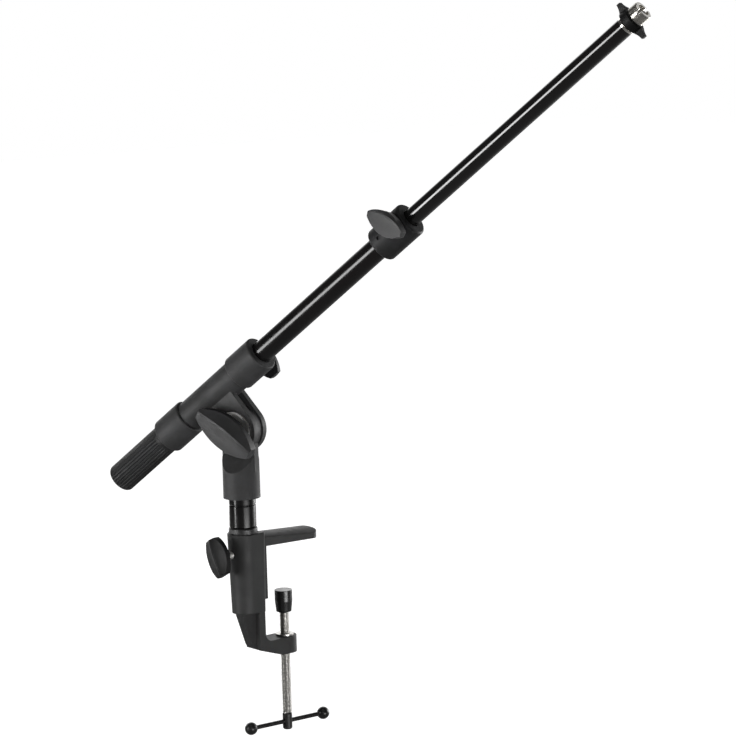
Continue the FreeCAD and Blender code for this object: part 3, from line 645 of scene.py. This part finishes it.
@dataclass
class ScrewThread:
    """A threaded bar, turned about Z, in millimetres.

    Attributes:
        radius: outside radius of the thread.
        pitch: rise of one turn.
        low: where the bar starts.
        high: where the bar ends.
        depth_share: depth of the groove as a share of the pitch.
        bore: radius of a hole through the bar, or 0.
        chamfer: length over which the thread fades out at each end.
        steps: points in one turn.
    """

    radius: float
    pitch: float
    low: float
    high: float
    depth_share: float = 0.55
    bore: float = 0.0
    chamfer: float = 0.8
    steps: int = 36

    def _reach(self, height: float, crest: float) -> float:
        """Gives the radius of the thread's flank at a height.

        Args:
            height: place along the bar.
            crest: 0 at the groove's floor and 1 at the crest.

        Returns:
            The radius there, drawn in towards both ends.
        """
        depth = self.pitch * self.depth_share
        end = min(height - self.low, self.high - height)
        fade = min(1.0, max(0.0, end / self.chamfer))
        return self.radius - depth + depth * min(crest, fade)

    def mesh(self, name: str) -> bpy.types.Mesh:
        """Builds the thread as one closed mesh.

        Args:
            name: the mesh's name.

        Returns:
            The mesh, in metres.
        """
        form = bmesh.new()
        turns = int(math.ceil((self.high - self.low) / self.pitch)) + 2
        rings: list[list[bmesh.types.BMVert]] = []
        for step in range(turns * self.steps + 1):
            angle = 2 * math.pi * step / self.steps
            base = self.low + self.pitch * (step / self.steps - 1.0)
            row = []
            for share, crest in THREAD_FORM:
                height = min(max(base + share * self.pitch, self.low), self.high)
                reach = self._reach(height, crest)
                row.append(form.verts.new((reach * math.cos(angle), reach * math.sin(angle), height)))
            rings.append(row)
        for step in range(len(rings) - 1):
            for mark in range(len(THREAD_FORM) - 1):
                near, far = rings[step], rings[step + 1]
                form.faces.new((near[mark], far[mark], far[mark + 1], near[mark + 1]))
            over = step + self.steps
            if over + 1 < len(rings):
                form.faces.new((rings[step][-1], rings[step + 1][-1], rings[over + 1][0], rings[over][0]))
        bmesh.ops.remove_doubles(form, verts=form.verts, dist=WELD)
        bmesh.ops.dissolve_degenerate(form, edges=form.edges, dist=WELD)
        self._close(form)
        bmesh.ops.recalc_face_normals(form, faces=form.faces)
        bmesh.ops.scale(form, vec=(MM, MM, MM), verts=form.verts)
        mesh = bpy.data.meshes.new(name)
        form.to_mesh(mesh)
        form.free()
        return mesh

    def _close(self, form: bmesh.types.BMesh) -> None:
        """Closes the two ends, with a bore through them where there is one.

        Args:
            form: the open thread, changed in place.
        """
        for height in (self.low, self.high):
            open_edges = [edge for edge in form.edges if edge.is_boundary]
            rim = [edge for edge in open_edges if all(abs(v.co.z - height) < 10 * WELD for v in edge.verts)]
            if not self.bore:
                bmesh.ops.holes_fill(form, edges=rim, sides=0)
                continue
            grown = bmesh.ops.extrude_edge_only(form, edges=rim)["geom"]
            for vert in (item for item in grown if isinstance(item, bmesh.types.BMVert)):
                flat = Vector((vert.co.x, vert.co.y)).normalized() * self.bore
                vert.co = (flat.x, flat.y, height)
        if self.bore:
            bmesh.ops.remove_doubles(form, verts=form.verts, dist=WELD)
            rim = [edge for edge in form.edges if edge.is_boundary]
            bmesh.ops.bridge_loops(form, edges=rim)


@dataclass
class TurnedBar:
    """A plain turned form about Z, in millimetres.

    Attributes:
        profile: (radius, height) points from the axis round to the axis.
        steps: points round the form.
    """

    profile: list[tuple[float, float]]
    steps: int = 48

    def mesh(self, name: str) -> bpy.types.Mesh:
        """Builds the turned form.

        Args:
            name: the mesh's name.

        Returns:
            The mesh, in metres.
        """
        form = bmesh.new()
        points = [form.verts.new((radius * MM, 0.0, height * MM)) for radius, height in self.profile]
        edges = [form.edges.new(pair) for pair in zip(points, points[1:])]
        about = {"axis": (0, 0, 1), "cent": (0, 0, 0), "angle": 2 * math.pi}
        bmesh.ops.spin(form, geom=points + edges, steps=self.steps, **about)
        bmesh.ops.remove_doubles(form, verts=form.verts, dist=WELD * MM)
        bmesh.ops.recalc_face_normals(form, faces=form.faces)
        mesh = bpy.data.meshes.new(name)
        form.to_mesh(mesh)
        form.free()
        return mesh


class PieceMaker:
    """Puts meshes into the scene and gives them their body and finish."""

    def __init__(self, shelf: FinishShelf) -> None:
        """Keeps the finishes."""
        self.shelf = shelf

    def place(
        self, name: str, meshes: list[bpy.types.Mesh], where: Matrix, smooth_angle: float = 35.0
    ) -> bpy.types.Object:
        """Joins meshes into one object at a frame.

        Args:
            name: the piece's name.
            meshes: the meshes, all in the same frame.
            where: the frame in the part's frame.
            smooth_angle: faces that meet under this angle are shaded as one, in degrees.

        Returns:
            The object, with its place in its mesh.
        """
        form = bmesh.new()
        for mesh in meshes:
            form.from_mesh(mesh)
        bmesh.ops.transform(form, matrix=where, verts=form.verts)
        joined = bpy.data.meshes.new(name)
        form.to_mesh(joined)
        form.free()
        joined.shade_smooth()
        joined.set_sharp_from_angle(angle=math.radians(smooth_angle))
        piece = bpy.data.objects.new(name, joined)
        bpy.context.scene.collection.objects.link(piece)
        return piece

    def cut(self, piece: bpy.types.Object, tool: bpy.types.Mesh, where: Matrix) -> None:
        """Cuts a tool's form out of a piece for good.

        Args:
            piece: the object to cut.
            tool: the mesh to take away.
            where: the tool's frame.
        """
        cutter = self.place("cutter", [tool], where)
        change = piece.modifiers.new("cut", "BOOLEAN")
        change.operation = "DIFFERENCE"
        change.solver = "EXACT"
        change.object = cutter
        graph = bpy.context.evaluated_depsgraph_get()
        done = bpy.data.meshes.new_from_object(piece.evaluated_get(graph))
        piece.modifiers.clear()
        piece.data = done
        bpy.data.objects.remove(cutter)

    def stand_for(self, piece: bpy.types.Object, node: str, body: str, finish: Finishes) -> None:
        """Lets a piece stand for a CAD node.

        Args:
            piece: the dressed piece.
            node: the node that it replaces.
            body: the body that it rides on.
            finish: its finish.
        """
        self.shelf.coat(piece, finish)
        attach(piece, body)
        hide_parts(node)
        LOG.info("%s stands for %s on %s", piece.name, node, body)


@dataclass
class ClampScrew:
    """The clamp's threaded spindle.

    Attributes:
        radius: outside radius of the thread, in millimetres.
        pitch: the thread's pitch.
        neck_radius: radius of the plain neck in the pad.
        neck_top: top of the neck.
        shoulder: where the thread starts, under the pad.
        thread_foot: where the thread ends, above the bar's hole.
        foot: lowest point of the spindle.
        bar_height: height of the bar's hole.
        bar_radius: radius of that hole.
        foot_inset: how far the plain foot lies inside the thread's radius.
        foot_cone: size of the cone between the thread and the foot.
        tip_chamfer: how far each of the two chamfers at the lowest end steps in.
        tip_rise: height above the lowest point where the first one starts.
        tip_land: height above it where the second one starts.
        drill_reach: half the length of the drill for the bar's hole.
    """

    radius: float = 4.0
    pitch: float = 1.25
    neck_radius: float = 3.0
    neck_top: float = -46.1
    shoulder: float = -60.1
    thread_foot: float = -146.0
    foot: float = -160.0
    bar_height: float = -153.2
    bar_radius: float = 1.88
    foot_inset: float = 0.05
    foot_cone: float = 0.7
    tip_chamfer: float = 0.8
    tip_rise: float = 1.2
    tip_land: float = 0.25
    drill_reach: float = 8.0

    def build(self, maker: PieceMaker) -> None:
        """Builds the threaded spindle in the CAD spindle's place.

        Args:
            maker: places and dresses the piece.
        """
        thread = ScrewThread(self.radius, self.pitch, self.thread_foot, self.shoulder).mesh("spindle_thread")
        neck = TurnedBar([
            (0, self.neck_top),
            (self.neck_radius, self.neck_top),
            (self.neck_radius, self.shoulder),
            (0, self.shoulder),
        ]).mesh("spindle_neck")
        plain = self.radius - self.foot_inset
        tip = self.radius - self.tip_chamfer
        foot = TurnedBar([
            (0, self.thread_foot),
            (self.radius - self.foot_cone, self.thread_foot),
            (plain, self.thread_foot - self.foot_cone),
            (plain, self.foot + self.tip_rise),
            (tip, self.foot + self.tip_land),
            (tip - self.tip_chamfer, self.foot),
            (0, self.foot),
        ]).mesh("spindle_foot")
        bright = maker.place("threaded_spindle", [thread, neck], Matrix.Identity(4))
        maker.stand_for(bright, "spindle", "spindle", Finishes.ZINC_POST)
        # The plain foot below the thread wears the black finish, so the spindle's lowest end is drawn dark.
        black = maker.place("spindle_foot", [foot], Matrix.Identity(4))
        reach = self.drill_reach
        outline = [(0, -reach), (self.bar_radius, -reach), (self.bar_radius, reach), (0, reach)]
        drill = TurnedBar(outline).mesh("bar_drill")
        maker.cut(black, drill, axis_matrix(Vector((0, 0, self.bar_height * MM)), ARM.bar))
        maker.stand_for(black, "spindle", "spindle", Finishes.BLACK_STEEL)


@dataclass
class LockScrew:
    """The threaded screw of one lock knob, in millimetres along its own axis.

    Attributes:
        node: the CAD node of the screw.
        body: the body that it rides on.
        origin: point on the clamped piece's axis, in metres.
        outwards: direction of the screw.
        low: inner end of the screw.
        high: end inside the knob.
        radius: outside radius of the thread.
        pitch: the thread's pitch.
    """

    node: str
    body: str
    origin: Vector
    outwards: Vector
    low: float
    high: float
    radius: float = 3.0
    pitch: float = 1.0

    def build(self, maker: PieceMaker) -> None:
        """Builds the threaded screw in the CAD screw's place.

        Args:
            maker: places and dresses the piece.
        """
        thread = ScrewThread(self.radius, self.pitch, self.low, self.high).mesh(self.node + "_thread")
        piece = maker.place(self.node + "_threaded", [thread], axis_matrix(self.origin, self.outwards))
        maker.stand_for(piece, self.node, self.body, Finishes.ZINC_HINGE_PAINTED_GLINT)


@dataclass
class TipFitting:
    """The bright end of the inner tube with its stud and slotted adaptor, in millimetres along the boom.

    Attributes:
        tube_end: end of the inner tube.
        tube_radius: radius of the flange on it.
        plug_radius: radius of the plug in the tube.
        plug_length: length of that plug.
        flange: thickness of the flange.
        stud_radius: outside radius of the stud's thread.
        stud_pitch: its pitch.
        stud_length: its length.
        adaptor_start: lower end of the adaptor.
        adaptor_length: its length.
        adaptor_radius: outside radius of its thread.
        adaptor_pitch: pitch of that thread.
        slot_width: width of the driver slot.
        slot_depth: depth of the slot.
        slot_overrun: how far the slot's cutter passes the adaptor.
        round_off: rounding of the flange's edges.
        stud_gap: gap between the stud and the adaptor's bore.
        adaptor_steps: points in one turn of the adaptor's thread.
    """

    tube_end: float = 464.2
    tube_radius: float = 7.2
    plug_radius: float = 6.17
    plug_length: float = 20.0
    flange: float = 2.4
    stud_radius: float = 4.75
    stud_pitch: float = 1.5875
    stud_length: float = 14.0
    adaptor_start: float = 474.7
    adaptor_length: float = 8.8
    adaptor_radius: float = 7.9375
    adaptor_pitch: float = 0.94
    slot_width: float = 2.4
    slot_depth: float = 2.6
    slot_overrun: float = 2.0
    round_off: float = 0.3
    stud_gap: float = 0.08
    adaptor_steps: int = 48

    def build(self, maker: PieceMaker) -> None:
        """Builds the stud and the adaptor in their CAD nodes' places.

        Args:
            maker: places and dresses the pieces.
        """
        where = axis_matrix(ARM.boom_point(0.0), ARM.along)
        flange_end = self.tube_end + self.flange
        plug_foot = self.tube_end - self.plug_length
        plug = TurnedBar([
            (0, plug_foot),
            (self.plug_radius, plug_foot),
            (self.plug_radius, self.tube_end),
            (self.tube_radius - self.round_off, self.tube_end),
            (self.tube_radius, self.tube_end + self.round_off),
            (self.tube_radius, flange_end - self.round_off),
            (self.tube_radius - self.round_off, flange_end),
            (0, flange_end),
        ]).mesh("tip_flange")
        stud_end = flange_end + self.stud_length
        stud = ScrewThread(self.stud_radius, self.stud_pitch, flange_end, stud_end).mesh("tip_stud")
        piece = maker.place("threaded_tip", [plug, stud], where)
        maker.stand_for(piece, "tip_plug", "inner_tube", Finishes.NICKEL)
        end = self.adaptor_start + self.adaptor_length
        bored = ScrewThread(
            self.adaptor_radius, self.adaptor_pitch, self.adaptor_start, end,
            bore=self.stud_radius + self.stud_gap, steps=self.adaptor_steps,
        ).mesh("adaptor_thread")
        adaptor = maker.place("threaded_adaptor", [bored], where)
        reach = self.adaptor_radius + self.slot_overrun
        slot = bmesh.new()
        bmesh.ops.create_cube(slot, size=1.0)
        sides = Vector((2 * reach, self.slot_width, 2 * self.slot_depth)) * MM
        bmesh.ops.scale(slot, vec=sides, verts=slot.verts)
        tool = bpy.data.meshes.new("slot_tool")
        slot.to_mesh(tool)
        slot.free()
        maker.cut(adaptor, tool, where @ Matrix.Translation((0, 0, end * MM)))
        maker.stand_for(adaptor, "thread_adaptor", "thread_adaptor", Finishes.NICKEL)


@dataclass
class CarriedNodes:
    """The CAD nodes that keep their own shape, by finish."""

    nodes: dict[Finishes, list[str]] = field(default_factory=lambda: {
        Finishes.MOULDED: ["joint_socket", "barrel", "rear_collar"],
        Finishes.COLLAR_PAINTED_SHADE: ["telescope_collar"],
        Finishes.KNOB: ["joint_knob", "boom_lock_knob"],
        Finishes.KNOB_GLOSSIER_PAINTED_LIGHT: ["telescope_knob"],
        Finishes.KNOB_PAINTED_SHADE: ["rod_lock_knob", "lock_ring"],
        Finishes.CAST: ["clamp_frame"],
        Finishes.GLOSS_BOOM: ["inner_tube"],
        Finishes.GLOSS_OUTER: ["outer_tube"],
        Finishes.GLOSS_POST: ["stub_rod"],
        Finishes.GRIP: ["tail_grip"],
        Finishes.CAP: ["pad_cap", "ball_knobs"],
        Finishes.ZINC_POST: ["spindle_bush"],
        Finishes.ZINC_HINGE_PAINTED_GLINT: ["joint_washer", "tilt_bolt", "joint_knob_insert", "lock_ring_insert"],
        Finishes.BLACK_STEEL: ["tommy_bar"],
        Finishes.LINER: ["barrel_liner", "telescope_liner", "guide_plug", "glide_ring", "friction_discs"],
        Finishes.BRASS: ["rod_lock_pad", "boom_lock_pad", "telescope_pad"],
    })

    def dress(self, shelf: FinishShelf) -> None:
        """Puts each node's finish on it.

        Args:
            shelf: holds the finishes.
        """
        for finish, names in self.nodes.items():
            for name in names:
                shelf.coat(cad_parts[name], finish)
                LOG.info("%s wears %s", name, finish.value.name)


@dataclass(frozen=True)
class Viewpoint:
    """The camera that looks at the arm.

    Attributes:
        azimuth: turn about the post, in degrees.
        elevation: height above the horizon, in degrees.
        roll: lean of the camera, in degrees.
        target: the point looked at, in millimetres.
        offset_right: how far right of the target the view's middle lies.
        offset_up: how far above the target the view's middle lies.
        distance: distance from the target, in millimetres.
        lens: focal length on a 36 mm sensor.
    """

    azimuth: float = -39.3
    elevation: float = 8.36
    roll: float = 1.6
    target: tuple[float, float, float] = (-38.8, 0.0, 27.0)
    offset_right: float = 101.55
    offset_up: float = 118.23
    distance: float = 2210.0
    lens: float = 133.5

    def build(self) -> None:
        """Makes the camera and looks through it."""
        turn, rise, lean = (math.radians(angle) for angle in (self.azimuth, self.elevation, self.roll))
        right = Vector((math.cos(turn), math.sin(turn), 0.0))
        back = Vector((math.sin(turn) * math.cos(rise), -math.cos(turn) * math.cos(rise), math.sin(rise)))
        up = back.cross(right)
        leaned_right = right * math.cos(lean) - up * math.sin(lean)
        leaned_up = right * math.sin(lean) + up * math.cos(lean)
        middle = Vector(self.target) + leaned_right * self.offset_right + leaned_up * self.offset_up
        place = middle + back * self.distance
        camera = bpy.data.objects.new("camera", bpy.data.cameras.new("camera"))
        camera.data.lens = self.lens
        camera.data.sensor_width = 36.0
        camera.data.clip_start, camera.data.clip_end = 0.05, 50.0
        turned = Matrix((leaned_right, leaned_up, back)).transposed().to_4x4()
        camera.matrix_world = Matrix.Translation(place * MM) @ turned
        bpy.context.scene.collection.objects.link(camera)
        bpy.context.scene.camera = camera


@dataclass(frozen=True)
class SoftBox:
    """One soft studio lamp.

    Attributes:
        name: the lamp's name.
        aim: the point that it looks at, in metres.
        towards: direction from that point to the lamp.
        distance: distance to the lamp, in metres.
        size: width and length in metres.
        power: power in watts.
        lie: direction of its length.
        spread: angle that its grid lets through, in degrees.
    """

    name: str
    aim: tuple[float, float, float]
    towards: tuple[float, float, float]
    distance: float
    size: tuple[float, float]
    power: float
    lie: tuple[float, float, float] = (0.0, 0.0, 1.0)
    spread: float = 180.0

    def build(self) -> None:
        """Makes the lamp."""
        data = bpy.data.lights.new(self.name, "AREA")
        data.shape = "RECTANGLE"
        data.size, data.size_y = self.size
        data.energy = self.power
        data.spread = math.radians(self.spread)
        lamp = bpy.data.objects.new(self.name, data)
        lamp.visible_camera = False
        back = Vector(self.towards).normalized()
        length = Vector(self.lie)
        length = (length - back * length.dot(back)).normalized()
        turned = Matrix((length.cross(back), length, back)).transposed().to_4x4()
        lamp.matrix_world = Matrix.Translation(Vector(self.aim) + back * self.distance) @ turned
        bpy.context.scene.collection.objects.link(lamp)


@dataclass
class Studio:
    """The pale floor, the white surround and the soft lamps.

    Attributes:
        floor_height: height of the floor, in metres.
        floor_size: width of the floor.
        near_lift: share of white that only the camera sees on the floor by the arm.
        far_lift: the same share far from the arm, where the lamps don't reach.
        lift_span: distances from the arm between which that share grows, in metres.
        floor_colour: the floor's own colour.
        ambient: strength of the surround's light on the arm.
        dim: strength of the surround that gloss sees on the camera's side.
        backdrop: direction in which the surround is white to gloss.
        backdrop_span: how squarely a reflection faces it, from the dim edge to full white.
        lamps: the lamps.
    """

    floor_height: float = -0.30
    floor_size: float = 16.0
    near_lift: float = 0.86
    far_lift: float = 0.95
    lift_span: tuple[float, float] = (0.4, 3.0)
    floor_colour: tuple[float, float, float, float] = (0.45, 0.45, 0.45, 1.0)
    ambient: float = 0.18
    dim: float = 0.06
    backdrop: tuple[float, float, float] = (0.633, 0.774, 0.0)
    backdrop_span: tuple[float, float] = (0.5, 0.97)
    lamps: tuple[SoftBox, ...] = (
        SoftBox("strip", aim=(0.03, -0.17, 0.29), towards=(-0.972, 0.17, -0.09), distance=1.0,
                size=(0.36, 0.8), power=1.65, lie=tuple(ARM.along), spread=60.0),
        SoftBox("bounce", aim=(-0.02, -0.02, 0.08), towards=(-0.03, -0.75, -0.30), distance=0.81,
                size=(0.7, 0.18), power=0.62, spread=60.0),
        SoftBox("low", aim=(-0.08, -0.015, 0.115), towards=(-0.47, 0.68, -0.40), distance=0.55,
                size=(0.2, 0.2), power=0.036, spread=20.0),
        SoftBox("front", aim=(0.0, -0.1, 0.1), towards=(-0.55, -0.80, 0.25), distance=2.4,
                size=(1.2, 1.2), power=4.0),
        SoftBox("top", aim=(0.0, -0.1, 0.2), towards=(-0.25, -0.15, 1.0), distance=1.8,
                size=(1.0, 1.0), power=2.6, lie=(0.0, 1.0, 0.0)),
        SoftBox("rear", aim=(0.0, -0.1, 0.1), towards=(0.45, 0.85, 0.40), distance=2.4,
                size=(1.2, 1.2), power=5.0),
        SoftBox("side", aim=(0.0, -0.1, 0.1), towards=(1.0, 0.0, -0.02), distance=1.6,
                size=(1.0, 0.7), power=18.0),
        SoftBox("back", aim=(0.0, -0.1, 0.1), towards=(0.20, 0.97, -0.02), distance=1.6,
                size=(1.0, 0.7), power=5.0),
    )

    def build(self) -> None:
        """Makes the floor, the surround and the lamps."""
        self._floor()
        self._surround()
        for lamp in self.lamps:
            lamp.build()
        bpy.context.scene.view_settings.view_transform = "Standard"

    def _floor(self) -> None:
        """Makes the plain pale floor, lifted to white for the camera, with the arm's shadow on it."""
        form = bmesh.new()
        bmesh.ops.create_grid(form, x_segments=1, y_segments=1, size=self.floor_size / 2)
        mesh = bpy.data.meshes.new("floor")
        form.to_mesh(mesh)
        form.free()
        floor = bpy.data.objects.new("floor", mesh)
        floor.location = (0, 0, self.floor_height)
        bpy.context.scene.collection.objects.link(floor)
        material = bpy.data.materials.new("floor_white")
        material.use_nodes = True
        canvas = NodeCanvas(material.node_tree)
        shader = material.node_tree.nodes["Principled BSDF"]
        shader.inputs["Base Color"].default_value = self.floor_colour
        shader.inputs["Roughness"].default_value = 0.9
        shader.inputs["Specular IOR Level"].default_value = 0.1
        shader.inputs["Emission Color"].default_value = (1.0, 1.0, 1.0, 1.0)
        away = canvas.add("ShaderNodeVectorMath", operation="LENGTH")
        canvas.link(canvas.add("ShaderNodeTexCoord").outputs["Object"], away.inputs[0])
        lift = canvas.spread(away.outputs["Value"], *self.lift_span, self.near_lift, self.far_lift)
        seen = canvas.add("ShaderNodeLightPath").outputs["Is Camera Ray"]
        canvas.link(canvas.math("MULTIPLY", seen, lift), shader.inputs["Emission Strength"])
        mesh.materials.append(material)

    def _surround(self) -> None:
        """Makes the surround white to the camera, white behind the arm to gloss, and softer as light."""
        world = bpy.data.worlds.new("surround")
        bpy.context.scene.world = world
        world.use_nodes = True
        world.node_tree.nodes.clear()
        canvas = NodeCanvas(world.node_tree)
        output = canvas.add("ShaderNodeOutputWorld")
        light = canvas.add("ShaderNodeBackground")
        light.inputs["Color"].default_value = (1.0, 1.0, 1.0, 1.0)
        path = canvas.add("ShaderNodeLightPath")
        facing = canvas.add("ShaderNodeVectorMath", operation="DOT_PRODUCT")
        canvas.link(canvas.add("ShaderNodeTexCoord").outputs["Generated"], facing.inputs[0])
        facing.inputs[1].default_value = self.backdrop
        behind = canvas.spread(facing.outputs["Value"], *self.backdrop_span, self.dim, 1.0)
        gloss = canvas.math("MAXIMUM", path.outputs["Is Glossy Ray"], path.outputs["Is Transmission Ray"])
        reflected = canvas.math("MULTIPLY", gloss, behind)
        soft = canvas.math("MULTIPLY", path.outputs["Is Diffuse Ray"], self.ambient)
        strength = canvas.math("ADD", canvas.math("ADD", reflected, soft), path.outputs["Is Camera Ray"])
        canvas.link(strength, light.inputs["Strength"])
        canvas.link(light.outputs["Background"], output.inputs["Surface"])


def lock_screws() -> list[LockScrew]:
    """Lists the three lock screws.

    Returns:
        The screws of the clamp, the barrel's collar and the telescope collar.
    """
    post = Vector((-ARM.socket_reach, 0.0, ROD_LOCK_HEIGHT)) * MM
    roll = math.radians(TELESCOPE_ROLL)
    telescope = ARM.near * math.cos(roll) + ARM.upper * math.sin(roll)
    collar = ARM.boom_point(BOOM_LOCK_STATION)
    tele_collar = ARM.boom_point(TELESCOPE_STATION)
    return [
        LockScrew("rod_lock_screw", "rod_lock_knob", post, Vector((-1, 0, 0)), low=10.6, high=24.5),
        LockScrew("boom_lock_screw", "boom_lock_knob", collar, -ARM.near, low=11.7, high=22.1),
        LockScrew("telescope_screw", "telescope_knob", tele_collar, telescope, low=9.8, high=20.6),
    ]


def main() -> None:
    """Builds the dressed arm and its studio."""
    logging.basicConfig(level=logging.INFO, format="%(name)s: %(message)s")
    shelf = FinishShelf()
    maker = PieceMaker(shelf)
    CarriedNodes().dress(shelf)
    ClampScrew().build(maker)
    for screw in lock_screws():
        screw.build(maker)
    TipFitting().build(maker)
    Studio().build()
    Viewpoint().build()


if __name__ == "__main__":
    main()
